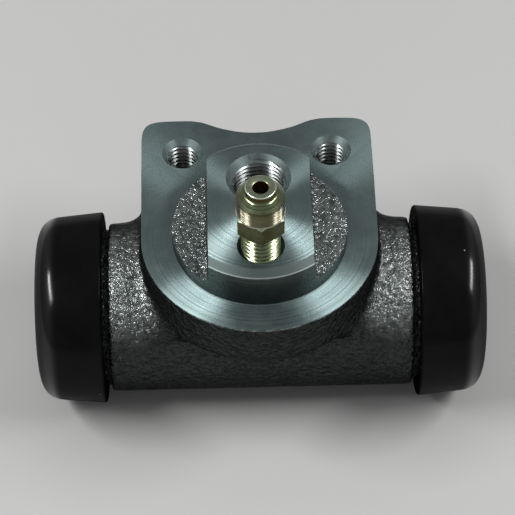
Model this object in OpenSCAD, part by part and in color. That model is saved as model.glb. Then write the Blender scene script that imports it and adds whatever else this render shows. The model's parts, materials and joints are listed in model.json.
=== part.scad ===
// Wheel cylinder of a drum brake: one cast body with two opposed pistons, in millimetres.
// The origin is where the axis of the locating spigot meets the mounting face. +Z points out of
// that face, +X runs along the bore and +Y points to the two bolt holes.

/* [Mounting face] */
// Radius of the round half of the mounting face
flange_r = 21; // [20:0.1:23]
// Distance from the spigot axis to the straight top edge
flange_top = 27.85; // [27:0.05:30]
// Radius of the two top corners
corner_r = 3.4; // [2:0.1:4]
// Depth of the dip in the middle of the top edge
dip_depth = 3.2; // [1:0.1:3.5]
// Radius at the bottom of the dip
dip_r = 18; // [14:0.5:22]
// Radius of the shoulders beside the dip
shoulder_r = 10; // [6:0.5:12]
// Thickness of the cast pad behind the mounting face
pad_t = 10; // [8:0.1:11]
// Rounding of the pad's cast lower edge
pad_edge_r = 2; // [0.5:0.1:3]
// Radius of the cast fillet between the pad and the barrel
neck_r = 4; // [2:0.1:5]

/* [Bolt holes] */
// Distance between the two bolt holes
bolt_spacing = 27; // [25:0.1:29]
// Distance from the spigot axis to the line of the bolt holes
bolt_y = 20; // [19:0.1:21]
// Thread size of the bolts
bolt_d = 6; // [5:0.5:6]
// Diameter of the countersink at each bolt hole
bolt_mouth_d = 7.4; // [6.5:0.1:8]

/* [Locating spigot] */
// Diameter of the turned spigot
spigot_d = 30.9; // [30:0.1:33]
// Height of the spigot above the mounting face
spigot_h = 8.5; // [7:0.1:10]
// Chamfer round the top of the spigot
spigot_chamfer = 1.2; // [0.5:0.1:2]
// Width of the high land between the two cast steps
land_w = 18.25; // [16:0.05:20]
// Height of the cast steps on either side of the land
step_h = 2.6; // [1.5:0.1:4]

/* [Pipe port] */
// Thread size of the brake pipe's union
port_d = 10; // [8:0.5:10]
// Distance from the spigot axis to the port, towards the bolt holes
port_y = 6.4; // [6:0.1:7]
// Diameter of the countersink at the port's mouth
port_mouth_d = 11.5; // [10.5:0.1:12]
// Depth of the threaded part of the port
port_depth = 13; // [10:0.1:14]
// Diameter of the drilling from the port into the bore
port_drill_d = 3.5; // [2:0.1:4]

/* [Bleed screw] */
// Thread size of the bleed screw
bleed_d = 7; // [6:0.5:7.5]
// Distance from the spigot axis to the bleed screw, away from the bolt holes
bleed_y = 9; // [8.5:0.1:9.5]
// Diameter of the countersink at the bleed hole's mouth
bleed_mouth_d = 8.3; // [8:0.1:9]
// Depth of the threaded part of the bleed hole
bleed_depth = 12; // [9:0.1:13]
// Diameter of the drilling from the bleed hole into the bore
bleed_drill_d = 2.5; // [2:0.1:3]
// Length of thread that shows above the spigot
bleed_show = 6.25; // [3:0.05:8]
// Width of the hexagon across its flats
hex_af = 8; // [8:0.5:10]
// Height of the hexagon
hex_h = 3.1; // [2.5:0.1:5]
// Diameter of the round collar above the hexagon
collar_d = 8.3; // [8.1:0.1:9]
// Height of the straight part of the collar
collar_h = 3.75; // [1:0.05:4]
// Diameter of the nipple's tip
nipple_d = 5.4; // [4.5:0.1:6.5]
// Height of the nipple's tip above the collar's cone
nipple_h = 1.2; // [1:0.05:4]
// Diameter of the hole down the bleed screw
nipple_hole_d = 2.8; // [1.5:0.1:3]
// Diameter of the cross hole above the bleed screw's point
cross_hole_d = 1.6; // [1:0.1:2]
// Length of the plain stem between the bleed screw's thread and the bottom of the threaded hole
stem_len = 3; // [2.5:0.1:4]
// How much thinner the stem is than the thread, on each side
stem_step = 0.75; // [0.5:0.05:1]

/* [Barrel] */
// Distance from the mounting face to the bore axis
bore_drop = 19.4; // [19:0.1:21]
// Diameter of the bore
bore_d = 22.2; // [20:0.1:23]
// Outer diameter of the cast barrel
barrel_d = 30.6; // [30:0.1:32]
// Length of the cast barrel between its two shoulders
barrel_len = 53.2; // [51:0.1:54]
// Length of the body between its two end faces
body_len = 66; // [65:0.1:66.5]
// Diameter of the turned seats for the boots
seat_d = 28.4; // [28:0.1:29.5]
// Depth of the groove for each boot's bead
groove_depth = 1.1; // [0.5:0.1:1.3]
// Width of that groove
groove_w = 2.6; // [2:0.1:3]
// Chamfer at the two mouths of the bore
bore_chamfer = 0.8; // [0.3:0.1:1]

/* [Boots] */
// Length over the two boots
overall_len = 81; // [80:0.1:84]
// Diameter of each boot at its rim
boot_d = 34.8; // [33:0.1:37]
// How much smaller the boot is where its outer corner begins
boot_taper = 1.3; // [0:0.1:1.4]
// Depth of the boot's outer corner, across the bore axis
boot_corner_r = 5.9; // [3:0.1:5.9]
// Length of the boot's outer corner, along the bore axis
boot_corner_len = 3.4; // [2.5:0.1:4.5]
// Gap between the barrel's shoulder and the boot's rim
boot_gap = 0.9; // [0.5:0.1:2]
// Rounding of the boot's rim
boot_rim_r = 0.8; // [0.3:0.1:1]
// Wall of the boot's inner fold
boot_wall = 1.5; // [1:0.1:1.7]
// Clearance of the boot's mouth round the piston's head
boot_mouth_gap = 0.7; // [0.4:0.1:0.8]

/* [Pistons and seals] */
// Distance from the middle of the bore to each piston's inner face
piston_in = 14; // [12:0.1:16]
// Distance of each piston's outer face inside the boot's end
piston_inset = 0.45; // [0:0.05:1.5]
// Diameter of the piston's head
head_d = 17; // [15:0.1:17.5]
// Length of the piston's head
head_len = 5.5; // [5:0.1:6]
// Depth of the groove behind the head for the boot's lip
lip_groove_depth = 1.7; // [1:0.1:2.5]
// Width of that groove
lip_groove_w = 2; // [1.5:0.1:2.2]
// Length of the collar between that groove and the piston's skirt
piston_collar = 1.2; // [0.8:0.1:2]
// Width of the slot for the brake shoe
slot_w = 5.6; // [4.5:0.1:7]
// Depth of the slot for the brake shoe
slot_depth = 4.8; // [4.2:0.1:5]
// Length of each cup seal
cup_len = 5; // [4:0.1:6]
// Thickness of the cup's base and lip
cup_wall = 1.9; // [1.5:0.1:2.2]
// Thickness of the pressed cup expander
expander_t = 0.8; // [0.5:0.1:1.2]
// Gap between the expander's rim and the cup's lip
expander_gap = 0.4; // [0.2:0.1:1]
// Gap between the expander's nose and the spring's coils
nose_gap = 0.3; // [0.2:0.05:0.6]
// Wire diameter of the return spring
wire_d = 1.2; // [0.8:0.1:1.4]
// Mean diameter of the return spring's coils
coil_d = 13; // [12:0.1:13.5]
// Number of turns of the return spring
coil_turns = 6; // [4:1:7]

/* [Fits] */
// Radial clearance of the pistons and cups in the bore
slide_clear = 0.04; // [0.02:0.01:0.08]
// Radial clearance of the bleed screw's thread
thread_clear = 0.05; // [0.02:0.01:0.09]
// Clearance of the rubber boots on their seats
boot_clear = 0.1; // [0.05:0.01:0.2]
// Clearance of the bleed screw's point on its seat and of the spring at its ends
seat_clear = 0.1; // [0.05:0.01:0.2]

/* [Hidden] */
$fn = 96;
left = -1;
right = 1;
// How far a cutting shape runs past the face that it cuts
over = 1;

spigot_r = spigot_d / 2;
bore_r = bore_d / 2;
barrel_r = barrel_d / 2;
seat_r = seat_d / 2;
groove_r = seat_r - groove_depth;
shoulder_x = barrel_len / 2;
body_end = body_len / 2;
rim_x = shoulder_x + boot_gap;
edge_chamfer = 0.5;

// The bead's groove lies midway between the boot's rim and the end of the body
groove_x = (rim_x + body_end - groove_w) / 2;

// The dip and its two shoulders are arcs that run into each other
dip_reach = dip_r + shoulder_r;
dip_angle = acos((dip_reach - dip_depth) / dip_reach);
shoulder_c = dip_reach * sin(dip_angle);

// Centre of the fillet under the pad, which touches the pad's lower face and the barrel
neck_z = -pad_t - neck_r;
neck_y = sqrt(pow(barrel_r + neck_r, 2) - pow(bore_drop + neck_z, 2));
neck_bite = 0.1;

boot_end = overall_len / 2;
boot_r = boot_d / 2;
boot_shoulder_r = boot_r - boot_taper / 2;
head_r = head_d / 2;
mouth_r = head_r + boot_mouth_gap;
piston_out = boot_end - piston_inset;
lip_groove_x = piston_out - head_len - lip_groove_w;
lip_groove_r = head_r - lip_groove_depth;
skirt_end = lip_groove_x - piston_collar;
piston_r = bore_r - slide_clear;

// Heights of the bleed screw's steps above the mounting face
hex_z = spigot_h + bleed_show;
collar_z = hex_z + hex_h;
cone_z = collar_z + collar_h;
collar_r = collar_d / 2;
nipple_r = nipple_d / 2;
nipple_step = stem_step / 3;
nipple_sink = nipple_hole_d / 10;
point_reach = bleed_drill_d / 8;
nipple_z = cone_z + collar_r - nipple_r - nipple_step;
nipple_top = nipple_z + nipple_h;
hex_r = hex_af / 2 / cos(30);
thread_r = bleed_d / 2 - thread_clear;
thread_end = spigot_h - bleed_depth + stem_len;
stem_r = thread_r - stem_step;
bleed_seat_z = spigot_h - bleed_depth - (bleed_d - bleed_drill_d) / 2;

expander_x = piston_in - cup_wall;
expander_r = piston_r - cup_wall - expander_gap;
spring_end = expander_x - expander_t - seat_clear;

function oval(x, y, rx, ry, from, to, steps = 10) =
    [for (i = [0 : steps]) let (a = from + (to - from) * i / steps) [x + rx * cos(a), y + ry * sin(a)]];
function arc(x, y, r, from, to, steps = 10) = oval(x, y, r, r, from, to, steps);

// Turns a shape drawn as radius and distance along Z onto the bore axis
module along_bore(side) {
    translate([0, 0, -bore_drop])
        mirror([side < 0 ? 1 : 0, 0, 0])
            rotate([0, 90, 0])
                children();
}

// Straight top edge with round corners and a shallow dip, open at its other sides
module top_edge() {
    wide = 2 * flange_r;
    corner_x = flange_r - corner_r;
    corner_y = flange_top - corner_r;
    polygon(concat(
        [[-wide, -wide], [wide, -wide], [wide, corner_y]],
        arc(corner_x, corner_y, corner_r, 0, 90),
        arc(shoulder_c, flange_top - shoulder_r, shoulder_r, 90, 90 + dip_angle),
        arc(0, flange_top - dip_depth + dip_r, dip_r, 270 + dip_angle, 270 - dip_angle, 16),
        arc(-shoulder_c, flange_top - shoulder_r, shoulder_r, 90 - dip_angle, 90),
        arc(-corner_x, corner_y, corner_r, 90, 180),
        [[-wide, corner_y]]));
}

// Half of the pad's section, from the spigot axis to its wall
function pad_section() = concat(
    [[0, 0], [0, -pad_t]],
    arc(flange_r - pad_edge_r, -pad_t + pad_edge_r, pad_edge_r, -90, 0, 6),
    [[flange_r, 0]]);

module mounting_pad() {
    back_len = flange_top + over;
    intersection() {
        union() {
            rotate([0, 0, 180])
                rotate_extrude(angle = 180)
                    polygon(pad_section());
            translate([0, back_len, 0])
                rotate([90, 0, 0])
                    linear_extrude(back_len)
                        for (side = [left, right])
                            mirror([side < 0 ? 1 : 0, 0])
                                polygon(pad_section());
        }
        translate([0, 0, -pad_t - over])
            linear_extrude(pad_t + 2 * over)
                top_edge();
    }
}

// Cast fillet that carries the overhanging pad down to the sides of the barrel
module pad_neck() {
    half_len = flange_r - pad_edge_r;
    intersection() {
        rotate([90, 0, 90])
            translate([0, 0, -half_len])
                linear_extrude(2 * half_len)
                    for (side = [left, right])
                        mirror([side < 0 ? 1 : 0, 0])
                            difference() {
                                polygon([[0, -bore_drop], [neck_y, neck_z], [neck_y, over - pad_t],
                                    [0, over - pad_t]]);
                                translate([neck_y, neck_z])
                                    circle(r = neck_r + neck_bite);
                            }
        union() {
            translate([0, 0, -bore_drop])
                cylinder(r = half_len, h = bore_drop);
            translate([-half_len, 0, -bore_drop])
                cube([2 * half_len, flange_top, bore_drop]);
        }
    }
}

module barrel() {
    for (side = [left, right])
        along_bore(side)
            rotate_extrude()
                polygon([[0, 0], [barrel_r, 0], [barrel_r, shoulder_x - edge_chamfer],
                    [barrel_r - edge_chamfer, shoulder_x], [seat_r, shoulder_x], [seat_r, groove_x],
                    [groove_r, groove_x], [groove_r, groove_x + groove_w], [seat_r, groove_x + groove_w],
                    [seat_r, body_end - edge_chamfer], [seat_r - edge_chamfer, body_end], [0, body_end]]);
}

// Turned spigot with a high land across it and a low cast step on either side
module spigot() {
    step_w = spigot_r - land_w / 2 + over;
    difference() {
        rotate_extrude()
            polygon([[0, -over], [spigot_r, -over], [spigot_r, spigot_h - spigot_chamfer],
                [spigot_r - spigot_chamfer, spigot_h], [0, spigot_h]]);
        for (side = [left, right])
            translate([side * (land_w + step_w) / 2, 0, step_h + spigot_h / 2])
                cube([step_w, spigot_d + 2 * over, spigot_h], center = true);
    }
}

// Countersunk hole with a drill point and a narrow drilling that runs on below it
module stepped_hole(top, d, mouth_d, depth, drill_d, drill_z) {
    cone = (d - drill_d) / 2;
    sink = (mouth_d - d) / 2;
    rotate_extrude()
        polygon([[0, drill_z], [drill_d / 2, drill_z], [drill_d / 2, top - depth - cone],
            [d / 2, top - depth], [d / 2, top - sink], [mouth_d / 2 + over, top + over], [0, top + over]]);
}

module bolt_hole() {
    sink = (bolt_mouth_d - bolt_d) / 2;
    rotate_extrude()
        polygon([[0, -pad_t - neck_r], [bolt_d / 2, -pad_t - neck_r], [bolt_d / 2, -sink],
            [bolt_mouth_d / 2 + over, over], [0, over]]);
}

module bore() {
    for (side = [left, right])
        along_bore(side)
            rotate_extrude()
                polygon([[0, 0], [bore_r, 0], [bore_r, body_end - bore_chamfer],
                    [bore_r + bore_chamfer + over, body_end + over], [0, body_end + over]]);
}

module cylinder_body() {
    drill_z = -bore_drop + bore_r / 2;
    color("dimgray")
        difference() {
            union() {
                barrel();
                mounting_pad();
                pad_neck();
                spigot();
            }
            bore();
            translate([0, port_y, 0])
                stepped_hole(spigot_h, port_d, port_mouth_d, port_depth, port_drill_d, drill_z);
            translate([0, -bleed_y, 0])
                stepped_hole(spigot_h, bleed_d, bleed_mouth_d, bleed_depth, bleed_drill_d, drill_z);
            for (side = [left, right])
                translate([side * bolt_spacing / 2, bolt_y, 0])
                    bolt_hole();
        }
}

// Folded rubber boot: skirt with a bead, round corner, end wall, mouth and a lip on the piston
module boot(side) {
    inner_r = seat_r + boot_clear;
    bead_r = groove_r + boot_clear;
    fold_r = mouth_r + boot_wall;
    roof_x = boot_end - boot_wall;
    lip_x = lip_groove_x + boot_clear;
    lip_end = lip_groove_x + lip_groove_w - boot_clear;
    corner_x = boot_end - boot_corner_len;
    corner_c = boot_shoulder_r - boot_corner_r;
    mouth_edge = boot_wall / 2;
    color("#161616")
        along_bore(side)
            rotate_extrude()
                polygon(concat(
                    [[inner_r, rim_x]],
                    arc(boot_r - boot_rim_r, rim_x + boot_rim_r, boot_rim_r, -90, 0, 6),
                    oval(corner_c, corner_x, boot_corner_r, boot_corner_len, 0, 90),
                    arc(mouth_r + mouth_edge, boot_end - mouth_edge, mouth_edge, 90, 180, 5),
                    [[mouth_r, lip_end], [lip_groove_r + boot_clear, lip_end],
                        [lip_groove_r + boot_clear, lip_x], [fold_r, lip_x], [fold_r, roof_x]],
                    oval(corner_c, corner_x, boot_corner_r - boot_wall, boot_corner_len - boot_wall, 90, 0),
                    [[inner_r, body_end + boot_clear], [inner_r, groove_x + groove_w - boot_clear],
                        [bead_r, groove_x + groove_w - boot_clear], [bead_r, groove_x + boot_clear],
                        [inner_r, groove_x + boot_clear]]));
}

module bleed_screw() {
    // The point's cone lies parallel to its seat, and its flat tip reaches into the drilling
    point_flat = bleed_drill_d / 2 - point_reach;
    point_z = bleed_seat_z + seat_clear * sqrt(2);
    cross_z = thread_end - stem_step - cross_hole_d;
    passage_z = cross_z - cross_hole_d / 2;
    chamfer_drop = (hex_r - collar_r) * tan(30);
    color("#a89a5c")
        translate([0, -bleed_y, 0])
            difference() {
                union() {
                    // Point, stem and threaded shank
                    rotate_extrude()
                        polygon([[0, point_z - point_reach], [point_flat, point_z - point_reach],
                            [stem_r, point_z + stem_r - bleed_drill_d / 2], [stem_r, thread_end - stem_step],
                            [thread_r, thread_end], [thread_r, hex_z + hex_h / 2], [0, hex_z + hex_h / 2]]);
                    // Hexagon with its upper corners turned off, one corner away from the bolt holes
                    intersection() {
                        translate([0, 0, hex_z])
                            rotate([0, 0, 30])
                                cylinder(r = hex_r, h = hex_h, $fn = 6);
                        rotate_extrude()
                            polygon([[0, hex_z - over], [hex_r + over, hex_z - over],
                                [hex_r + over, collar_z - chamfer_drop - over * tan(30)],
                                [collar_r, collar_z], [0, collar_z]]);
                    }
                    // Collar, cone and nipple
                    rotate_extrude()
                        polygon([[0, collar_z - hex_h / 2], [nipple_r, collar_z - hex_h / 2],
                            [nipple_r, collar_z], [collar_r, collar_z], [collar_r, cone_z],
                            [nipple_r + nipple_step, nipple_z], [nipple_r, nipple_z],
                            [nipple_r, nipple_top - nipple_step], [nipple_r - nipple_step, nipple_top],
                            [0, nipple_top]]);
                }
                // Fluid passage with a countersunk mouth, and the cross hole above the point
                rotate_extrude()
                    polygon([[0, passage_z], [nipple_hole_d / 2, passage_z],
                        [nipple_hole_d / 2, nipple_top - nipple_sink],
                        [nipple_hole_d / 2 + nipple_sink + over, nipple_top + over], [0, nipple_top + over]]);
                translate([0, 0, cross_z])
                    rotate([0, 90, 0])
                        cylinder(d = cross_hole_d, h = bleed_d, center = true);
            }
}

// Piston with a guided skirt, a groove for the boot's lip and a slotted head
module piston(side) {
    color("#8d9095")
        along_bore(side)
            difference() {
                rotate_extrude()
                    polygon([[0, piston_in], [piston_r - edge_chamfer, piston_in],
                        [piston_r, piston_in + edge_chamfer], [piston_r, skirt_end - edge_chamfer],
                        [piston_r - edge_chamfer, skirt_end], [head_r, skirt_end], [head_r, lip_groove_x],
                        [lip_groove_r, lip_groove_x], [lip_groove_r, lip_groove_x + lip_groove_w],
                        [head_r, lip_groove_x + lip_groove_w], [head_r, piston_out - edge_chamfer],
                        [head_r - edge_chamfer, piston_out], [0, piston_out]]);
                translate([0, 0, piston_out - slot_depth / 2 + over / 2])
                    cube([slot_w, head_d + 2 * over, slot_depth + over], center = true);
            }
}

// Pressure cup with its lip turned to the middle of the bore
module cup_seal(side) {
    lip_x = piston_in - cup_len;
    color("#202020")
        along_bore(side)
            rotate_extrude()
                polygon([[0, piston_in], [piston_r - edge_chamfer, piston_in],
                    [piston_r - edge_chamfer / 2, piston_in - cup_wall], [piston_r, lip_x],
                    [piston_r - cup_wall / 2, lip_x], [piston_r - cup_wall, expander_x], [0, expander_x]]);
}

// Pressed plate in the cup's hollow, with a raised middle that centres the spring
module cup_expander(side) {
    nose_r = (coil_d - wire_d) / 2 - nose_gap;
    nose_x = expander_x - 3 * expander_t;
    color("#b0a070")
        along_bore(side)
            rotate_extrude()
                polygon([[0, expander_x], [expander_r, expander_x], [expander_r, expander_x - expander_t],
                    [nose_r, expander_x - expander_t], [nose_r - expander_t, nose_x], [0, nose_x]]);
}

// Coil spring swept along its helix, with a closed turn at either end
module return_spring() {
    steps_per_turn = 20;
    sides = 8;
    steps = coil_turns * steps_per_turn;
    reach = spring_end - wire_d / 2;
    // Closed end turns: the first and last turn rise by one wire each
    function coil_x(turn) =
        turn <= 1 ? -reach + wire_d * turn :
        turn >= coil_turns - 1 ? reach - wire_d * (coil_turns - turn) :
        -reach + wire_d + (2 * reach - 2 * wire_d) * (turn - 1) / (coil_turns - 2);
    function ring_point(step, corner) =
        let (turn = step / steps_per_turn, around = 360 * turn, tilt = 360 * corner / sides)
        let (r = coil_d / 2 + wire_d / 2 * cos(tilt))
        [coil_x(turn) + wire_d / 2 * sin(tilt), r * cos(around), r * sin(around) - bore_drop];
    points = [for (step = [0 : steps]) for (corner = [0 : sides - 1]) ring_point(step, corner)];
    walls = [for (step = [0 : steps - 1]) for (corner = [0 : sides - 1])
        let (a = step * sides + corner, b = step * sides + (corner + 1) % sides)
        [a, b, b + sides, a + sides]];
    start_cap = [[for (corner = [sides - 1 : -1 : 0]) corner]];
    end_cap = [[for (corner = [0 : sides - 1]) steps * sides + corner]];
    color("#6f7276")
        polyhedron(points, concat(walls, start_cap, end_cap));
}

cylinder_body();
boot(left);  // left_boot
boot(right);  // right_boot
bleed_screw();
piston(left);  // left_piston
piston(right);  // right_piston
cup_seal(left);  // left_cup_seal
cup_seal(right);  // right_cup_seal
cup_expander(left);  // left_cup_expander
cup_expander(right);  // right_cup_expander
return_spring();
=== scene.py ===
# Wheel cylinder of a drum brake: cast body, threads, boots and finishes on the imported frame
import json
import math

import bmesh
import bpy
from mathutils import Matrix, Vector

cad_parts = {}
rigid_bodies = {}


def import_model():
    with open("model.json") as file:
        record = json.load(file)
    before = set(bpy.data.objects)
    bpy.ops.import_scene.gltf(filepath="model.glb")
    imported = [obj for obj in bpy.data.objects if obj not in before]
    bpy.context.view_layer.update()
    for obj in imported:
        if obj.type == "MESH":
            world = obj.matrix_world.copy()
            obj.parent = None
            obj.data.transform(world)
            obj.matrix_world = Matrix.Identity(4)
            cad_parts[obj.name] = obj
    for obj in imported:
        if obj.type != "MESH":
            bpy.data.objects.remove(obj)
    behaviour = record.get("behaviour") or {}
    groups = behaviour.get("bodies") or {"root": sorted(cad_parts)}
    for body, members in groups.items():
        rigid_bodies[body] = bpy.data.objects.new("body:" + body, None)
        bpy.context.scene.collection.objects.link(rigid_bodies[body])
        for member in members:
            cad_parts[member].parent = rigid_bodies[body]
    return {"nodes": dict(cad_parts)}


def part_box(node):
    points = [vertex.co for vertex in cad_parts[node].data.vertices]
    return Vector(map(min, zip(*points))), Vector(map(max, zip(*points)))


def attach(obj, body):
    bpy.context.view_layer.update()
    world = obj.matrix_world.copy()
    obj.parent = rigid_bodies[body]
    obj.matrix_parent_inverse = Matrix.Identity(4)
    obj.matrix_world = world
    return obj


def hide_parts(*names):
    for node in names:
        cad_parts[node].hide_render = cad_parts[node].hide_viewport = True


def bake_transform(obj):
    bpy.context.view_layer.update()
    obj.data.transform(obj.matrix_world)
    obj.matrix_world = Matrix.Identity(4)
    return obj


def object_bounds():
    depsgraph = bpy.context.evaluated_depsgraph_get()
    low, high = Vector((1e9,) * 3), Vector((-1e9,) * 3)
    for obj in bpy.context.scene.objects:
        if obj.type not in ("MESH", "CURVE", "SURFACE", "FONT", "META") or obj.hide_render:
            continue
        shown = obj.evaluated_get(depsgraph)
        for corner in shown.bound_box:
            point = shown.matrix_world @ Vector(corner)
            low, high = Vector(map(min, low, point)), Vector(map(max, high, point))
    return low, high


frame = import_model()
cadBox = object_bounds()
mm = 0.001  # shapes are worked out in millimetres
scene = bpy.context.scene
scene.view_settings.view_transform = "Standard"


def nodeBox(name):
    low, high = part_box(name)
    return Vector(low) / mm, Vector(high) / mm


bodyLow, bodyHigh = nodeBox("cylinder_body")
pistonLow, pistonHigh = nodeBox("right_piston")
screwLow, screwHigh = nodeBox("bleed_screw")
bootLow, bootHigh = nodeBox("right_boot")
springLow, springHigh = nodeBox("return_spring")
boreZ = (pistonLow.z + pistonHigh.z) / 2
screwY = (screwLow.y + screwHigh.y) / 2


# Node helpers
class Signal:
    # An output socket that can be added, multiplied and compared
    def __init__(self, bench, socket):
        self.bench = bench
        self.socket = socket

    def of(self, name):
        return Signal(self.bench, self.socket.node.outputs[name])

    def math(self, operation, *others):
        return self.bench.math(operation, self, *others)

    def __add__(self, other):
        return self.math("ADD", other)

    __radd__ = __add__

    def __sub__(self, other):
        return self.math("SUBTRACT", other)

    def __rsub__(self, other):
        return self.bench.math("SUBTRACT", other, self)

    def __mul__(self, other):
        return self.math("MULTIPLY", other)

    __rmul__ = __mul__

    def __truediv__(self, other):
        return self.math("DIVIDE", other)

    def __rtruediv__(self, other):
        return self.bench.math("DIVIDE", other, self)

    def __neg__(self):
        return self.math("MULTIPLY", -1)

    def __abs__(self):
        return self.math("ABSOLUTE")

    def __gt__(self, other):
        return self.math("GREATER_THAN", other)

    def __lt__(self, other):
        return self.math("LESS_THAN", other)

    def low(self, other, blend=None):
        return self.math("MINIMUM", other) if blend is None else self.math("SMOOTH_MIN", other, blend)

    def high(self, other, blend=None):
        return self.math("MAXIMUM", other) if blend is None else self.math("SMOOTH_MAX", other, blend)

    def root(self):
        return self.high(0).math("SQRT")

    def ease(self, start, end, low=0, high=1):
        sockets = {"Value": self, "From Min": start, "From Max": end, "To Min": low, "To Max": high}
        return self.bench.node("ShaderNodeMapRange", {"interpolation_type": "SMOOTHSTEP"}, sockets)


class Bench:
    # A node tree, emptied and filled again node by node
    def __init__(self, tree):
        self.tree = tree
        tree.nodes.clear()

    def node(self, kind, settings=None, sockets=None, output=0):
        made = self.tree.nodes.new(kind)
        for name, value in (settings or {}).items():
            setattr(made, name, value)
        for key, value in (sockets or {}).items():
            if isinstance(value, Signal):
                self.tree.links.new(value.socket, made.inputs[key])
            else:
                made.inputs[key].default_value = value
        return Signal(self, made.outputs[output]) if len(made.outputs) else made

    def math(self, operation, *values):
        return self.node("ShaderNodeMath", {"operation": operation}, dict(enumerate(values)))

    def vector(self, operation, *values, output=0):
        return self.node("ShaderNodeVectorMath", {"operation": operation}, dict(enumerate(values)), output)

    def scaled(self, vector, factor):
        return self.node("ShaderNodeVectorMath", {"operation": "SCALE"}, {0: vector, "Scale": factor})

    def apart(self, vector):
        return self.node("ShaderNodeSeparateXYZ", {}, {"Vector": vector})

    def spot(self):
        return self.node("ShaderNodeTexCoord", output="Object")

    def mixed(self, mask, first, second):
        first, second = (c if isinstance(c, Signal) else (*c, 1) for c in (first, second))
        return self.node("ShaderNodeMix", {"data_type": "RGBA"}, {0: mask, 6: first, 7: second}, 2)

    def blended(self, mask, first, second):
        return self.node("ShaderNodeMixShader", {}, {0: mask, 1: first, 2: second})

    def noise(self, spot, scale, detail=2, roughness=0.5, distortion=0):
        sockets = {"Vector": spot, "Scale": scale, "Detail": detail, "Roughness": roughness,
                   "Distortion": distortion}
        return self.node("ShaderNodeTexNoise", {}, sockets)

    def rings(self, along, pitch, detail=1):
        sockets = {"W": along, "Scale": 1 / pitch, "Detail": detail}
        return self.node("ShaderNodeTexNoise", {"noise_dimensions": "1D"}, sockets)


# Finish helpers
def newFinish(name):
    material = bpy.data.materials.new(name)
    material.use_nodes = True
    return material, Bench(material.node_tree)


def closeFinish(bench, shader):
    bench.node("ShaderNodeOutputMaterial", {}, {"Surface": shader})


def coat(bench, sockets):
    closeFinish(bench, bench.node("ShaderNodeBsdfPrincipled", {}, sockets))


class TurnedSurface:
    # A surface from the lathe: the way along the tool's path in mm, which way that path runs on the
    # surface, and how square the surface faces along the axis
    def __init__(self, bench, centre, axis):
        coords = bench.node("ShaderNodeTexCoord")
        spot = bench.vector("SUBTRACT", coords.of("Object"), centre)
        across = bench.vector("CROSS_PRODUCT", axis, spot)
        radius = bench.vector("LENGTH", across, output="Value")
        height = bench.vector("DOT_PRODUCT", spot, axis, output="Value")
        self.bench = bench
        self.normal = coords.of("Normal")
        self.path = (radius - height) / mm
        self.slope = bench.vector("CROSS_PRODUCT", bench.vector("NORMALIZE", across), self.normal)
        self.facing = abs(bench.vector("DOT_PRODUCT", self.normal, axis, output="Value"))

    def leaned(self, lean):
        # The normal, leaned along the tool's path as on the side of a groove
        tilt = self.bench.scaled(self.slope, lean)
        bent = self.bench.vector("NORMALIZE", self.bench.vector("ADD", self.normal, tilt))
        settings = {"vector_type": "NORMAL", "convert_from": "OBJECT", "convert_to": "WORLD"}
        return self.bench.node("ShaderNodeVectorTransform", settings, {0: bent})

    def ringed(self, layers):
        # Uneven rings, each layer with its pitch and the most it leans the normal
        lean = 0
        for pitch, amount in layers:
            lean = (self.bench.rings(self.path, pitch) - 0.5) * amount + lean
        return self.leaned(lean)

    def metal(self, colour, roughness, lean):
        return self.bench.node("ShaderNodeBsdfPrincipled", {}, {
            "Base Color": colour, "Metallic": 1.0, "Roughness": roughness, "Normal": self.leaned(lean)})


def patchedFinish(name, look):
    # Dark and light patches, the light ones a little rougher; rings, if any, run round the bore
    material, bench = newFinish(name)
    patch = bench.noise(bench.spot(), *look["patch"]).ease(*look["contrast"])
    sockets = {"Base Color": bench.mixed(patch, look["dark"], look["light"]), "Metallic": look["metallic"],
               "Roughness": patch * look["spread"] + look["roughness"]}
    if "rings" in look:
        sockets["Normal"] = TurnedSurface(bench, (0, 0, boreZ * mm), (1, 0, 0)).ringed(look["rings"])
    coat(bench, sockets)
    return material


# Camera, floor and light
photoCamera = {"azimuth": -1.18, "elevation": 51.05, "roll": 0.438, "distance": 437.8, "right": 0.379,
               "up": 3.753, "lens": 172.8, "sensor": 36, "clip": 0.01}


def aimCamera(view):
    turn, rise, roll = (math.radians(view[key]) for key in ("azimuth", "elevation", "roll"))
    back = Vector((math.sin(turn) * math.cos(rise), -math.cos(turn) * math.cos(rise), math.sin(rise)))
    level = Vector((math.cos(turn), math.sin(turn), 0))
    plumb = back.cross(level)
    right = level * math.cos(roll) - plumb * math.sin(roll)
    up = level * math.sin(roll) + plumb * math.cos(roll)
    spot = back * view["distance"] - right * view["right"] - up * view["up"]
    lens = bpy.data.cameras.new("photo_camera")
    lens.lens = view["lens"]
    lens.sensor_width = view["sensor"]
    lens.clip_start = view["clip"]
    camera = bpy.data.objects.new("photo_camera", lens)
    camera.matrix_world = Matrix.Translation(spot * mm) @ Matrix((right, up, back)).transposed().to_4x4()
    scene.collection.objects.link(camera)
    scene.camera = camera


# Places and sizes of the studio are in metres
studio = {"ambient": 0.22, "ceiling": 0.30, "floor": (0.53, 0.53, 0.525), "floorHalf": 3.0,
          "floorGap": 0.0001}
lamps = {"left_softbox": {"power": 2.9, "spot": (-0.41, -0.085, 0.535), "size": (0.42, 0.08)},
         "right_softbox": {"power": 2.35, "spot": (0.43, -0.045, 0.52), "size": (0.42, 0.08)}}


def softLamp(name, power, spot, size):
    lamp = bpy.data.lights.new(name, "AREA")
    lamp.shape = "RECTANGLE"
    lamp.size, lamp.size_y = size
    lamp.energy = power
    holder = bpy.data.objects.new(name, lamp)
    holder.location = spot
    holder.rotation_euler = (-Vector(spot)).to_track_quat("-Z", "Y").to_euler()  # aimed at the origin
    scene.collection.objects.link(holder)


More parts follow.
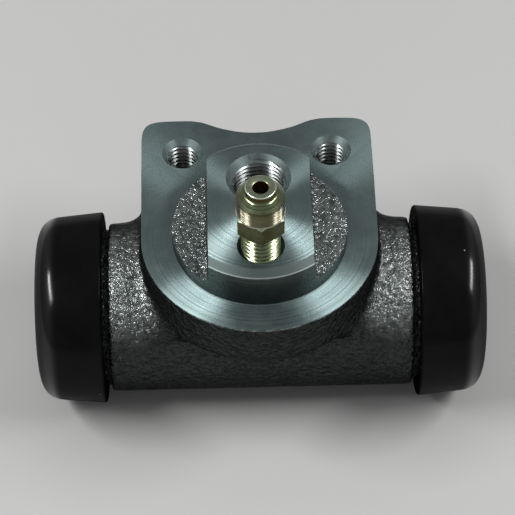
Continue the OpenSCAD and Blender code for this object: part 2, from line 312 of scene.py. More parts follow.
def lightStudio(values):
    for name, lamp in lamps.items():
        softLamp(name, **lamp)
    world = bpy.data.worlds.new("studio")
    world.use_nodes = True
    scene.world = world
    bench = Bench(world.node_tree)
    height = bench.apart(bench.node("ShaderNodeTexCoord", output="Generated")).of("Z")
    level = height.ease(0.05, 0.75, values["ambient"], values["ceiling"])
    shade = bench.node("ShaderNodeBackground", {}, {"Color": (1, 1, 1, 1), "Strength": level})
    bench.node("ShaderNodeOutputWorld", {}, {"Surface": shade})


def floorPaint(pale):
    material, bench = newFinish("floor_paint")
    mottle = bench.noise(bench.spot(), 14, 3).ease(0.3, 0.7)
    coat(bench, {"Base Color": bench.mixed(mottle, [0.97 * c for c in pale], pale), "Roughness": 0.85})
    return material


def layFloor(values):
    half = values["floorHalf"]
    level = cadBox[0][2] - values["floorGap"]
    mesh = bpy.data.meshes.new("floor")
    corners = [(-half, -half, level), (half, -half, level), (half, half, level), (-half, half, level)]
    mesh.from_pydata(corners, [], [(0, 1, 2, 3)])
    mesh.materials.append(floorPaint(values["floor"]))
    floor = bpy.data.objects.new("floor", mesh)
    scene.collection.objects.link(floor)


aimCamera(photoCamera)
lightStudio(studio)
layFloor(studio)
print("camera, floor and lamps are set")


# Mesh helpers
def upright(x, y):
    return lambda along, radius, angle: (x + radius * math.cos(angle), y + radius * math.sin(angle), along)


def onBore(side):
    def place(along, radius, angle):
        return side * along, radius * math.cos(angle), boreZ + radius * math.sin(angle)
    return place


def bend(centre, radius, start, end, steps, across=None):
    # Arc of (along, radius) points for a lathe's profile, oval where the size across is another one
    across = radius if across is None else across
    angles = (math.radians(start + (end - start) * i / steps) for i in range(steps + 1))
    return [(centre[0] + radius * math.sin(a), centre[1] + across * math.cos(a)) for a in angles]


def newPiece(name, mesh):
    piece = bpy.data.objects.new(name, mesh)
    scene.collection.objects.link(piece)
    return piece


def lathe(name, profile, place, steps=128, loop=False):
    # Profile points are (along, radius); a radius may be a function of the angle
    work = bmesh.new()
    angles = [2 * math.pi * i / steps for i in range(steps)]
    rows = []
    for along, radius in profile:
        size = radius if callable(radius) else (lambda angle, fixed=radius: fixed)
        if size(0) == 0:
            rows.append([work.verts.new(place(along, 0, 0))] * steps)
        else:
            rows.append([work.verts.new(place(along, size(angle), angle)) for angle in angles])
    for low, high in zip(rows, rows[1:] + (rows[:1] if loop else [])):
        for i in range(steps):
            j = (i + 1) % steps
            corners = list(dict.fromkeys((low[i], low[j], high[j], high[i])))
            if len(corners) > 2:
                work.faces.new(corners)
    bmesh.ops.scale(work, vec=(mm, mm, mm), verts=work.verts)
    bmesh.ops.recalc_face_normals(work, faces=work.faces)
    mesh = bpy.data.meshes.new(name)
    work.to_mesh(mesh)
    work.free()
    return newPiece(name, mesh)


def bake(piece):
    # Turns what the modifiers give into a plain mesh
    graph = bpy.context.evaluated_depsgraph_get()
    graph.update()
    done = bpy.data.meshes.new_from_object(piece.evaluated_get(graph), depsgraph=graph)
    old = piece.data
    piece.modifiers.clear()
    piece.data = done
    bpy.data.meshes.remove(old)
    done.name = piece.name
    work = bmesh.new()
    work.from_mesh(done)
    bmesh.ops.remove_doubles(work, verts=work.verts, dist=0.0005 * mm)
    bmesh.ops.recalc_face_normals(work, faces=work.faces)
    work.to_mesh(done)
    work.free()
    return piece


def growTree(name, tree, values):
    # A new piece from a Geometry Nodes tree, whose inputs are set by socket identifier
    piece = newPiece(name, bpy.data.meshes.new(name))
    tool = piece.modifiers.new(tree.name, "NODES")
    tool.node_group = tree
    for item in tree.interface.items_tree:
        if item.in_out == "INPUT" and item.name in values:
            tool[item.identifier] = values[item.name]
    return bake(piece)


def treeWith(name, inputs):
    tree = bpy.data.node_groups.new(name, "GeometryNodeTree")
    bench = Bench(tree)
    for label, value in inputs.items():
        kind = "NodeSocketInt" if isinstance(value, int) else "NodeSocketFloat"
        tree.interface.new_socket(label, in_out="INPUT", socket_type=kind).default_value = value
    tree.interface.new_socket("Mesh", in_out="OUTPUT", socket_type="NodeSocketGeometry")
    start = bench.node("NodeGroupInput")
    return tree, bench, {label: start.of(label) for label in inputs}


def endTree(bench, shape, material):
    small = bench.node("GeometryNodeTransform", {}, {"Geometry": shape, "Scale": (mm, mm, mm)})
    whole = bench.node("GeometryNodeRealizeInstances", {}, {"Geometry": small})
    dressed = bench.node("GeometryNodeSetMaterial", {}, {"Geometry": whole, "Material": material})
    bench.node("NodeGroupOutput", {}, {"Mesh": dressed})


def cut(piece, tools, operation="DIFFERENCE"):
    for tool in tools:
        step = piece.modifiers.new(tool.name, "BOOLEAN")
        step.operation = operation
        step.object = tool
        step.solver = "MANIFOLD"
    bake(piece)
    for tool in tools:
        mesh = tool.data
        bpy.data.objects.remove(tool)
        bpy.data.meshes.remove(mesh)


def setSlot(piece, index):
    for face in piece.data.polygons:
        face.material_index = index
    return piece


def dress(piece, *materials):
    piece.data.materials.clear()
    for material in materials:
        piece.data.materials.append(material)


def crease(piece, angle, rough=None, roughAngle=70):
    # Smooth faces with crisp edges; faces in the rough slot keep only their steepest edges
    work = bmesh.new()
    work.from_mesh(piece.data)
    for face in work.faces:
        face.smooth = True
    limit, roughLimit = math.radians(angle), math.radians(roughAngle)
    for edge in work.edges:
        slots = {face.material_index for face in edge.link_faces}
        steep = edge.calc_face_angle(0)
        edge.smooth = steep < (roughLimit if slots == {rough} else limit)
    work.to_mesh(piece.data)
    work.free()


# Threads
def threadTree(material):
    # A threaded tool or rod: a grid wrapped round its axis, with a drill point below
    inputs = {"Bottom": -10.0, "Top": 5.0, "Crest Radius": 2.5, "Root Radius": 3.0, "Pitch": 1.0,
              "Drill Radius": 1.0, "Drill Height": -5.0, "Start Angle": 0.0, "Rows": 100, "Columns": 64}
    tree, bench, size = treeWith("thread_tool", inputs)
    grid = bench.node("GeometryNodeMeshGrid", {}, {"Size X": 2 * math.pi, "Size Y": 1.0,
                                                   "Vertices X": size["Columns"], "Vertices Y": size["Rows"]})
    where = bench.apart(bench.node("GeometryNodeInputPosition"))
    angle, part = where.of("X"), where.of("Y") + 0.5
    height = size["Bottom"] + part * (size["Top"] - size["Bottom"])
    turns = height / size["Pitch"] - (angle + size["Start Angle"]) / (2 * math.pi)
    wave = 1 - abs(turns.math("FLOORED_MODULO", 1) * 2 - 1)
    groove = ((wave - 0.12) / 0.76).high(0).low(1)  # flat crests and roots
    radius = size["Crest Radius"] + groove * (size["Root Radius"] - size["Crest Radius"])
    radius = radius.low((size["Drill Radius"] + height - size["Drill Height"]).high(size["Drill Radius"]))
    edge = 0.5 / size["Rows"]
    radius = radius * (part > edge) * (part < 1 - edge)  # closed at both ends
    point = bench.node("ShaderNodeCombineXYZ", {}, {"X": radius * angle.math("COSINE"),
                                                    "Y": radius * angle.math("SINE"), "Z": height})
    wrapped = bench.node("GeometryNodeSetPosition", {}, {"Geometry": grid, "Position": point})
    closed = bench.node("GeometryNodeMergeByDistance", {}, {"Geometry": wrapped, "Distance": 0.0005})
    endTree(bench, closed, material)
    return tree


def threadPiece(name, tree, spot, values, rowsPerTurn=10):
    rows = round((values["Top"] - values["Bottom"]) / values["Pitch"] * rowsPerTurn) + 1
    piece = growTree(name, tree, {**values, "Rows": rows})
    piece.data.transform(Matrix.Translation(Vector((*spot, 0)) * mm))
    return piece


# Cast body
castBody = {"cornerRound": 3.4, "dipDepth": 3.2, "dipRadius": 18.0, "shoulderRadius": 10.0, "padThick": 10.0,
            "padRound": 2.0, "barrelRound": 0.5, "smallFillet": 1.6, "neckFillet": 4.0,
            "filletFrom": -4, "filletTo": -11, "barrelRadius": 15.3, "landHalf": 9.125, "landRound": 0.9,
            "stepHeight": 2.6, "stepRound": 1.4, "draft": 0.02, "allowance": 1.2, "waviness": 0.16,
            "voxel": 0.5}
machined = {"spigotRadius": 15.45, "spigotChamfer": 1.2, "footRound": 0.25, "boreRadius": 11.1,
            "boreChamfer": 0.8, "shoulderX": 27.15, "seatRadius": 14.2, "grooveRadius": 13.1,
            "grooveFrom": 28.95, "grooveTo": 31.55, "edge": 0.5, "endFrom": 5}
tappedHoles = {
    "pipePort": {"level": bodyHigh.z, "bottom": boreZ + 4, "crest": 4.46, "root": 5.0, "drill": 1.75,
                 "drillDepth": 16.25, "mouth": 5.75, "spots": [(0, 6.4)]},
    "bleedHole": {"level": bodyHigh.z, "bottom": boreZ + 4, "crest": 3.0, "root": 3.5, "drill": 1.25,
                  "drillDepth": 14.25, "mouth": 4.15, "spots": [(0, screwY)]},
    "boltHoles": {"level": 0, "bottom": -18.0, "crest": 2.5, "root": 3.0, "drill": 2.0,
                  "drillDepth": 30.0, "mouth": 3.7, "spots": [(-13.5, 20.0), (13.5, 20.0)]}}
tapPitch = 1.0
tapOver = 2.03  # how far a tap reaches out of its hole, off the rows of its grid
coneOver = 2  # and how far a countersink does
roundToBlend = 1.757  # a smooth minimum of this many radii looks like a fillet of that radius
farOut = 60  # a radius or length that is clear of the casting

# shade, sky, litRange and low set the painted shade of the cast skin
castLook = {"hollow": (0.12, 0.13, 0.126), "ridge": (0.28, 0.305, 0.296), "shade": (0.02, 0.022, 0.0215),
            "bareHollow": (0.115, 0.13, 0.127), "bareRidge": (0.32, 0.36, 0.35), "bareFrom": -0.45,
            "grain": 0.72, "depth": 0.50, "roughness": 0.08, "metallic": 0.85,
            "sky": (0, -0.26, 0.966), "litRange": (0.58, 0.94), "low": 0.13}
# The wall colour is painted shade for upright walls, and the bright edge colour a painted highlight line
faceLook = {"colour": (0.245, 0.325, 0.322), "dark": (0.185, 0.252, 0.25), "slant": (0.165, 0.212, 0.206),
            "wall": (0.09, 0.105, 0.10), "paintedEdgeHighlight": (0.52, 0.60, 0.58), "pores": (0.05, 0.055, 0.053),
            "roughness": 0.24, "markPitch": 0.36, "share": 0.17,
            "leans": (-0.62, -0.45, -0.29, -0.14, 0.14, 0.29, 0.45, 0.62)}
# The darkest colour and its fade depths give painted shade down the threads
tapLook = {"light": (0.26, 0.295, 0.29), "dark": (0.18, 0.205, 0.20), "paintedDeepShade": (0.075, 0.083, 0.08),
           "fade": (0.4, 4.5), "roughness": 0.19, "spigotEndY": 15}
boreLook = {"dark": (0.34, 0.36, 0.35), "light": (0.44, 0.46, 0.45), "patch": (300, 3),
            "contrast": (0.3, 0.7), "metallic": 1.0, "roughness": 0.24, "spread": 0.1,
            "rings": ((0.12, 0.25), (0.6, 0.15))}
sunkLook = {"dark": (0.1615, 0.2057, 0.2023), "light": (0.19, 0.242, 0.238), "patch": (500, 3),
            "contrast": (0.35, 0.7), "metallic": 1.0, "roughness": 0.39, "spread": 0.08}


def castSkin(look):
    # Dark sand-cast skin with painted shade: lighter where it faces up and forward and darker elsewhere, and
    # a painted shadow of the boots makes it nearly black at their seats; what stands above the mounting face
    # is bare and bright
    material, bench = newFinish("cast_iron_skin")
    coords = bench.node("ShaderNodeTexCoord")
    spot = coords.of("Object")
    where = bench.apart(spot)
    bare = (where.of("Z") / mm).ease(look["bareFrom"], look["bareFrom"] + 0.25)
    seat = machined["shoulderX"]
    rising = bench.vector("DOT_PRODUCT", coords.of("Normal"), look["sky"], output="Value")
    # Painted shade: darker as the surface turns away from the front and top
    paintedLight = rising.ease(*look["litRange"], look["low"], 1)
    # Painted shadow of the boots: nearly black next to their seats
    paintedLight = paintedLight * abs(where.of("X") / mm).ease(seat - 0.3, seat + 0.1, 1, 0.1)
    grain = bench.noise(spot, 1 / (look["grain"] * mm), 2, 0.5, 1.1)
    sand = bench.node("ShaderNodeTexVoronoi", {"feature": "SMOOTH_F1"},
                      {"Vector": spot, "Scale": 1 / (1.3 * look["grain"] * mm)}, "Distance")
    patch = bench.noise(spot, 120, 3, 0.6)
    tone = (grain * 0.9 - sand * 0.45 + patch * 0.35).ease(0.2, 0.6)
    bump = bench.node("ShaderNodeBump", {}, {"Strength": 1, "Distance": look["depth"] * mm,
                                             "Height": grain * 0.7 - sand * 0.55})
    skin = bench.mixed(paintedLight, look["shade"], bench.mixed(tone, look["hollow"], look["ridge"]))
    bright = bench.mixed(tone, look["bareHollow"], look["bareRidge"])
    coat(bench, {"Base Color": bench.mixed(bare, skin, bright), "Metallic": look["metallic"],
                 "Roughness": (1 - patch) * 0.3 - bare * 0.06 + look["roughness"], "Normal": bump,
                 "Specular Tint": (0.06, 0.06, 0.06, 1)})
    return material


def turnedIron(look):
    # Flat faces shine off the sides of their lathe grooves; slanted edges are rougher, and walls get a
    # painted dark shade
    material, bench = newFinish("turned_iron")
    turned = TurnedSurface(bench, (0, 0, 0), (0, 0, 1))
    path, facing = turned.path, turned.facing
    spot = bench.spot()
    slant = facing.ease(0.4, 0.6) * (1 - facing.ease(0.85, 0.95))
    patch = bench.noise(spot, 170, 4, 0.6).ease(0.35, 0.7)
    pores = bench.noise(spot, 2600, 1).ease(0.66, 0.74)
    marks = bench.rings(path, look["markPitch"], 3)
    colour = bench.mixed(patch * 0.6 + marks.ease(0.3, 0.7) * 0.4, look["dark"], look["colour"])
    colour = bench.mixed(pores * 0.15, colour, look["pores"])
    colour = bench.mixed(slant, colour, look["slant"])
    # Painted shade: upright walls take a dark colour
    colour = bench.mixed(1 - facing.ease(0.1, 0.4), colour, look["wall"])
    # A painted highlight line where the spigot's chamfer meets its wall
    paintedEdgeHighlight = machined["spigotRadius"] - bodyHigh.z + machined["spigotChamfer"]
    line = path.ease(paintedEdgeHighlight - 0.35, paintedEdgeHighlight - 0.12) * path.ease(paintedEdgeHighlight + 0.03, paintedEdgeHighlight + 0.2, 1, 0)
    colour = bench.mixed(line * 0.8, colour, look["paintedEdgeHighlight"])
    rough = patch * 0.06 + pores * 0.1 + slant * 0.12 + look["roughness"]
    shader = turned.metal(colour, rough, (marks - 0.5) * 0.16)
    share = marks.ease(0.2, 0.8, 0.65, 1.35) * facing * facing * look["share"]
    for lean in look["leans"]:
        shader = bench.blended(share, shader, turned.metal(colour, rough, lean))
    closeFinish(bench, shader)
    return material


def tappedIron(look):
    # Painted shade: threads darken downwards, from the spigot's top or from the mounting face
    material, bench = newFinish("tapped_thread")
    spot = bench.spot()
    where = bench.apart(spot)
    depth = (where.of("Y") < look["spigotEndY"] * mm) * bodyHigh.z - where.of("Z") / mm
    tear = bench.noise(spot, 700, 2, 0.5)
    colour = bench.mixed(tear.ease(0.35, 0.7), look["dark"], look["light"])
    colour = bench.mixed(depth.ease(*look["fade"]), colour, look["paintedDeepShade"])
    coat(bench, {"Base Color": colour, "Metallic": 1.0, "Roughness": tear * 0.1 + look["roughness"]})
    return material


# In the three shapes below a value is the distance to the surface, negative inside
def padShape(size, values, x, y, z):
    # Top edge: a dip in the middle that runs into two round shoulders
    reach = values["dipRadius"] + values["shoulderRadius"]
    lean = math.acos((reach - values["dipDepth"]) / reach)
    shoulderX = reach * math.sin(lean)
    dip = values["dipRadius"] - (values["dipRadius"] ** 2 - x * x).root()
    over = shoulderX - x.low(shoulderX)
    shoulder = (values["shoulderRadius"] ** 2 - over * over).root()
    hump = values["dipDepth"] - values["shoulderRadius"] + shoulder
    outer = x > values["dipRadius"] * math.sin(lean)
    rise = dip * (1 - outer) + hump * outer
    topEdge = y - (size["Flange Top"] - values["dipDepth"] + rise)
    front = y.low(0)
    wall = (x * x + front * front).root() - size["Flange Radius"]
    outline = wall.high(topEdge, values["cornerRound"] * roundToBlend)
    back = outline.high(-z - size["Pad Thickness"], values["padRound"] * roundToBlend)
    return back.high(z - values["allowance"])


def barrelShape(size, values, x, y, z):
    drop = z - size["Bore Height"]
    around = (y * y + drop * drop).root()
    barrel = around - size["Barrel Radius"]
    barrel = barrel.high(x - size["Shoulder"], values["barrelRound"] * roundToBlend)
    neck = around - size["Seat Radius"] - values["allowance"] / 2
    return barrel.low(neck.high(x - size["Barrel Half Length"] - values["allowance"]))


def spigotShape(size, values, x, y, z):
    spare = values["allowance"]
    rim = (x * x + y * y).root() - size["Spigot Radius"] - spare
    step = rim.high(z - size["Step Height"])
    slant = (size["Spigot Height"] - z) * values["draft"]
    land = rim.high(z - size["Spigot Height"] - spare)
    land = land.high(x - size["Land Half Width"] - slant, values["landRound"])
    return step.low(land, values["stepRound"]).high(-z - spare)


def castBlankTree(values, material):
    inputs = {"Flange Radius": -bodyLow.y, "Flange Top": bodyHigh.y, "Pad Thickness": values["padThick"],
              "Barrel Radius": values["barrelRadius"], "Barrel Half Length": bodyHigh.x, "Bore Height": boreZ,
              "Shoulder": machined["shoulderX"], "Seat Radius": machined["seatRadius"],
              "Spigot Radius": machined["spigotRadius"], "Spigot Height": bodyHigh.z,
              "Land Half Width": values["landHalf"], "Step Height": values["stepHeight"],
              "Waviness": values["waviness"]}
    tree, bench, size = treeWith("cast_blank", inputs)
    spot = bench.node("GeometryNodeInputPosition")
    where = bench.apart(spot)
    place = (abs(where.of("X")), where.of("Y"), where.of("Z"))
    fillets = (values["smallFillet"] * roundToBlend, values["neckFillet"] * roundToBlend)
    fillet = where.of("Z").ease(values["filletFrom"], values["filletTo"], *fillets)
    body = padShape(size, values, *place).low(barrelShape(size, values, *place), fillet)
    body = body.low(spigotShape(size, values, *place))
    swell = bench.noise(spot, 0.22, 2) * 0.9 + bench.noise(spot, 0.9, 2) * 0.7 - 0.8  # long and short waves
    body = body - swell * size["Waviness"]
    # The grid leaves room round the casting for what is machined off
    low = (-bodyHigh.x - 2.5, bodyLow.y - 1.5, boreZ - values["barrelRadius"] - 1.5)
    high = (bodyHigh.x + 2.5, bodyHigh.y + 1.5, bodyHigh.z + 2.5)
    counts = [round((b - a) / values["voxel"]) for a, b in zip(low, high)]
    cloud = bench.node("GeometryNodeVolumeCube", {}, {
        "Density": 1 - body, "Background": 0.0, "Min": low, "Max": high,
        "Resolution X": counts[0], "Resolution Y": counts[1], "Resolution Z": counts[2]})
    skin = bench.node("GeometryNodeVolumeToMesh", {"resolution_mode": "GRID"},
                      {"Volume": cloud, "Threshold": 1.0})
    endTree(bench, skin, material)
    return tree, inputs


def facingCut(cuts):
    # Turns the mounting face, the spigot's wall and chamfer, and its top
    spigot, chamfer, foot, top = cuts["spigotRadius"], cuts["spigotChamfer"], cuts["footRound"], bodyHigh.z
    profile = [(farOut, 0), (farOut, farOut), (0, farOut), *bend((foot, spigot + foot), foot, -90, -180, 6),
               (top - chamfer, spigot), (top, spigot - chamfer), (top, 0)]
    return lathe("facing_cut", profile, upright(0, 0), 192)


def boreCut(cuts):
    # Bores the barrel through and chamfers both ends
    end, bore, chamfer = bodyHigh.x, cuts["boreRadius"], cuts["boreChamfer"]
    mouth = bore + chamfer
    profile = [(-farOut, 0), (-farOut, mouth), (-end, mouth), (chamfer - end, bore), (end - chamfer, bore),
               (end, mouth), (farOut, mouth), (farOut, 0)]
    return lathe("bore_cut", profile, onBore(1))


def endCut(cuts, side):
    # Leaves the boot's seat with its groove, and the barrel's end
    end, edge, shoulder = bodyHigh.x, cuts["edge"], cuts["shoulderX"]
    seat, groove, inside = cuts["seatRadius"], cuts["grooveRadius"], cuts["endFrom"]
    profile = [(shoulder, farOut), (shoulder, seat), (cuts["grooveFrom"], seat), (cuts["grooveFrom"], groove),
               (cuts["grooveTo"], groove), (cuts["grooveTo"], seat), (end - edge, seat), (end, seat - edge),
               (end, inside), (farOut, inside), (farOut, farOut)]
    return lathe("end_cut", profile, onBore(side), loop=True)


def holeCuts(hole, spot, thread):
    # A tap and the countersink at its mouth
    level, mouth = hole["level"], hole["mouth"]
    size = {"Bottom": hole["bottom"], "Top": level + tapOver, "Crest Radius": hole["crest"],
            "Root Radius": hole["root"], "Pitch": tapPitch, "Drill Radius": hole["drill"],
            "Drill Height": level - hole["drillDepth"]}
    cone = [(level - mouth, 0), (level + coneOver, mouth + coneOver), (level + coneOver, 0)]
    return threadPiece("tap", thread, spot, size), lathe("countersink", cone, upright(*spot), 96)


def makeBody(values, cuts):
    cast, tapped = castSkin(castLook), tappedIron(tapLook)
    tree, inputs = castBlankTree(values, cast)
    body = growTree("cast_cylinder_body", tree, inputs)
    print("cast blank:", len(body.data.polygons), "faces")
    # Each cut leaves faces in the slot of its own finish
    castSlot, faceSlot, tapSlot, boreSlot, sunkSlot = range(5)
    dress(body, cast, turnedIron(faceLook), tapped, patchedFinish("honed_bore", boreLook),
          patchedFinish("countersunk_iron", sunkLook))
    setSlot(body, castSlot)
    tools = [setSlot(facingCut(cuts), faceSlot), setSlot(boreCut(cuts), boreSlot)]
    tools += [setSlot(endCut(cuts, side), castSlot) for side in (-1, 1)]
    thread = threadTree(tapped)
    for hole in tappedHoles.values():
        for spot in hole["spots"]:
            tap, countersink = holeCuts(hole, spot, thread)
            tools += [setSlot(tap, tapSlot), setSlot(countersink, sunkSlot)]
    cut(body, tools)
    crease(body, 32, rough=castSlot)
    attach(body, "housing")
    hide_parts("cylinder_body")
    print("cast body:", len(body.data.polygons), "faces")
    return thread


# Bleed screw
screwForm = {"threadRoot": 2.84, "threadCrest": 3.44, "pitch": 1.0, "threadStart": 2.0, "threadInHex": 0.25,
             "hexFlat": 4.0, "hexZ": 13.9, "hexFoot": 0.5, "footIn": 0.1, "footUp": 0.05, "hexSteps": 6,
             "lean": 30.0, "collarZ": 17.85, "collar": 4.15, "bead": 0.1, "coneZ": 21.6,
             "ringParts": (0.35, 0.7), "ringStep": 0.15, "neckZ": 22.8, "neckStep": 0.25, "tip": 2.7,
             "hole": 1.4, "holeFloor": 0.9, "sink": 0.42, "sinkDepth": 0.22}
# The plate's dark brown, edge, shine and bore colours carry painted shade, painted light and painted
# highlights
plateLook = {"paintedShadeBrown": (0.054, 0.047, 0.013), "cool": (0.42, 0.49, 0.35), "thread": (0.27, 0.32, 0.19),
             "edge": (0.80, 0.86, 0.70), "paintedShine": (0.86, 0.80, 0.60), "tarnish": (0.06, 0.045, 0.02),
             "bore": (0.46, 0.34, 0.15), "roughness": 0.21, "shineRoughness": 0.15, "share": 0.055,
             "leans": (-1.5, -2.0)}


def zincPlate(look):
    # Yellow passivation, part chromate tint and part painted shade: upright sides near-black brown, upward
    # faces lighter and greener; painted highlights on the edges, painted light in the tip's hole and two
    # painted streaks on the collar
    material, bench = newFinish("yellow_zinc_plate")
    turned = TurnedSurface(bench, (0, screwY * mm, 0), (0, 0, 1))
    facing = turned.facing
    spot = bench.spot()
    level = bench.apart(spot).of("Z") / mm
    radius = turned.path + level
    hexTop, coneZ, hole, tipTop = screwForm["collarZ"], screwForm["coneZ"], screwForm["hole"], screwHigh.z
    drift = bench.noise(spot, 240, 3, 0.55).ease(0.35, 0.66)
    stain = bench.noise(spot, 620, 4, 0.6).ease(0.54, 0.74)
    green = bench.mixed(level.ease(tipTop - 0.5, tipTop - 0.4), look["thread"], look["cool"])
    # Part chromate tint, part painted shade: upright sides near-black brown, upward faces lighter and greener
    colour = bench.mixed(facing.ease(0.15, 0.6) * 0.8 + drift * 0.2, look["paintedShadeBrown"], green)
    colour = bench.mixed(stain * 0.5, colour, look["tarnish"])
    # Painted edge highlights: the hexagon's upper edge and the tip's rim
    paintedEdgeHighlight = level.ease(hexTop - 1, hexTop - 0.8) * (1 - level.ease(hexTop + 0.25, hexTop + 0.4))
    paintedEdgeHighlight = paintedEdgeHighlight * level.ease(hexTop - 0.1, hexTop, 0.4, 1)
    paintedEdgeHighlight = paintedEdgeHighlight + level.ease(tipTop - 0.35, tipTop - 0.25) * radius.ease(2.2, 2.4)
    paintedEdgeHighlight = paintedEdgeHighlight * facing.ease(0.2, 0.4) * (1 - facing.ease(0.96, 0.995))
    colour = bench.mixed(paintedEdgeHighlight, colour, look["edge"])
    # Painted light: the inside of the tip's hole is a lighter brown, though it lies in shade
    colour = bench.mixed(radius.ease(hole, hole + 0.1), look["bore"], colour)
    rough = stain * 0.12 + drift * 0.05 + look["roughness"]
    marks = bench.rings(turned.path, 0.5)
    shader = turned.metal(colour, rough, (marks - 0.5) * 0.12)
    # Painted highlight: on the collar only, a bright lobe on steeply leaned normals gives two streaks
    collar = level.ease(hexTop, hexTop + 0.4) * level.ease(coneZ - 1.15, coneZ, 1, 0)
    share = collar * (1 - facing.ease(0.8, 0.95)) * marks.ease(0.3, 0.7, 0.7, 1.3) * look["share"]
    for lean in look["leans"]:
        paintedStreak = turned.metal((*look["paintedShine"], 1), look["shineRoughness"], lean)
        shader = bench.blended(share, shader, paintedStreak)
    closeFinish(bench, shader)
    return material


def hexProfile(values):
    # The hexagon with a chamfered foot and top: its radius changes with the angle, capped by a cone
    flat, hexZ, steps = values["hexFlat"], values["hexZ"], values["hexSteps"]
    collar, collarZ = values["collar"], values["collarZ"]
    corner = flat / math.cos(math.pi / 6)
    drop = (corner - collar) * math.tan(math.radians(values["lean"]))
    inset, lift = values["footIn"], values["footUp"]

    def capped(cap):
        def size(angle):
            turn = (angle - math.pi / 6) % (math.pi / 3) - math.pi / 6
            return min(flat / math.cos(turn), cap)
        return size

    parts = [i / steps for i in range(steps + 1)]
    foot = [(hexZ + lift + values["hexFoot"] * part, capped(flat - inset + (corner - flat + inset) * part))
            for part in parts]
    top = [(collarZ - drop * (1 - part), capped(corner + (collar - corner) * part)) for part in parts]
    return [(hexZ, 0), (hexZ, flat - inset - lift), *foot, *top]


def nippleProfile(values):
    # From a bead on the hexagon up the collar, the ledged cone and the tip, and down into the hole
    top, tip, hole = screwHigh.z, values["tip"], values["hole"]
    collar, collarZ, bead = values["collar"], values["collarZ"], values["bead"]
    coneZ, neckZ, step, soft = values["coneZ"], values["neckZ"], values["ringStep"], values["neckStep"]
    neck = tip + soft
    profile = [(collarZ + 0.2 * bead, collar + bead), (collarZ + bead, collar + 0.9 * bead),
               (collarZ + 2 * bead, collar + 0.4 * bead), (collarZ + 2.5 * bead, collar), (coneZ, collar)]
    for part in values["ringParts"]:
        z = coneZ + part * (neckZ - coneZ)
        r = collar + part * (neck - collar)
        profile += [(z, r), (z + 0.3 * step, r - step), (z + step, r - step)]
    profile += [(neckZ, neck), (neckZ + 0.04, tip + 0.14), (neckZ + 0.4, tip)]
    profile += bend((top - soft, tip - soft), soft, 0, 90, 5)
    floorZ = values["hexZ"] + values["holeFloor"]
    profile += [(top, hole + values["sink"]), (top - values["sinkDepth"], hole), (floorZ, hole), (floorZ, 0)]
    return profile


def makeScrew(values, thread):
    plate = zincPlate(plateLook)
    screw = lathe("bleed_screw_plated", hexProfile(values) + nippleProfile(values), upright(0, screwY), 96)
    rod = {"Bottom": screwLow.z + 1, "Top": values["hexZ"] + values["threadInHex"],
           "Crest Radius": values["threadRoot"], "Root Radius": values["threadCrest"],
           "Pitch": values["pitch"], "Drill Radius": 1.0, "Drill Height": screwLow.z - 0.5,
           "Start Angle": values["threadStart"]}
    cut(screw, [threadPiece("bleed_shank", thread, (0, screwY), rod)], "UNION")
    dress(screw, plate)
    setSlot(screw, 0)
    crease(screw, 28)
    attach(screw, "bleed_screw")
    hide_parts("bleed_screw")
    print("bleed screw:", len(screw.data.polygons), "faces")


# Rubber boots
bootForm = {"rimX": 28.25, "rimRound": 0.45, "taper": 0.65, "cornerLength": 4.8, "cornerDepth": 8.2,
            "cornerPower": 3.0, "cornerSteps": 40, "wall": 1.5, "mouth": 9.2, "seatGap": 0.1,
            "innerLength": 1.9, "innerDepth": 4.4, "lip": 6.9, "lipFrom": 32.65, "lipTo": 34.45,
            "foldIn": 0.2, "foldGap": 0.02, "stretchFrom": 33.2, "stretchTo": 38.9}
# The corner's extra coat is a painted sheen
rubberLook = {"colour": (0.0022, 0.0023, 0.0025), "bloom": (0.005, 0.005, 0.0053), "roughness": 0.19,
              "sheen": 0.2, "paintedCornerSheen": 0.8, "gleamFrom": 29, "lines": 0.12, "dust": (0.42, 0.42, 0.40)}


def bootRubber(look):
    # Black rubber with fine mould lines, a little dust and a painted sheen on the corner
    material, bench = newFinish("boot_rubber")
    spot = bench.spot()
    bloom = bench.noise(spot, 90, 3, 0.6).ease(0.4, 0.75)
    speck = bench.node("ShaderNodeTexVoronoi", {"feature": "F1"}, {"Vector": spot, "Scale": 420}, "Distance")
    dust = (1 - speck.ease(0.03, 0.07)) * bench.noise(spot, 260, 1).ease(0.62, 0.68)
    colour = bench.mixed(bloom, look["colour"], look["bloom"])
    colour = bench.mixed(dust, colour, look["dust"])
    turned = TurnedSurface(bench, (0, 0, boreZ * mm), (1, 0, 0))
    facing = turned.facing
    lines = (bench.rings(turned.path, 0.3) - 0.5) * (1 - facing.ease(0.075, 0.13)) * look["lines"]
    ringed = turned.leaned(lines + (bench.rings(turned.path, 1.9) - 0.5) * 0.05)
    bump = bench.node("ShaderNodeBump", {}, {"Strength": 0.25, "Distance": 0.03 * mm,
                                             "Height": bench.noise(spot, 2300, 2, 0.5), "Normal": ringed})
    # Painted sheen: a stronger coat only on the corner, where the lamps' streak falls, and a thinner one on
    # the rim's inside, where it lies in shade; the corner is found by its slope, so the sheen stays on it
    # when the boot is stretched
    along = abs(bench.apart(spot).of("X")) / mm
    corner = facing.ease(0.09, 0.4) * facing.ease(0.4, 0.95, 1, 0)
    corner = corner * along.ease(look["gleamFrom"], look["gleamFrom"] + 2)
    rim = along.ease(bootForm["rimX"], bootForm["rimX"] + 0.6, 0.1, 1)
    coat(bench, {"Base Color": colour, "Roughness": 0.5, "Specular IOR Level": 0.0,
                 "Coat Weight": (corner * look["paintedCornerSheen"] + look["sheen"]) * rim,
                 "Coat Roughness": look["roughness"], "Normal": bump})
    return material


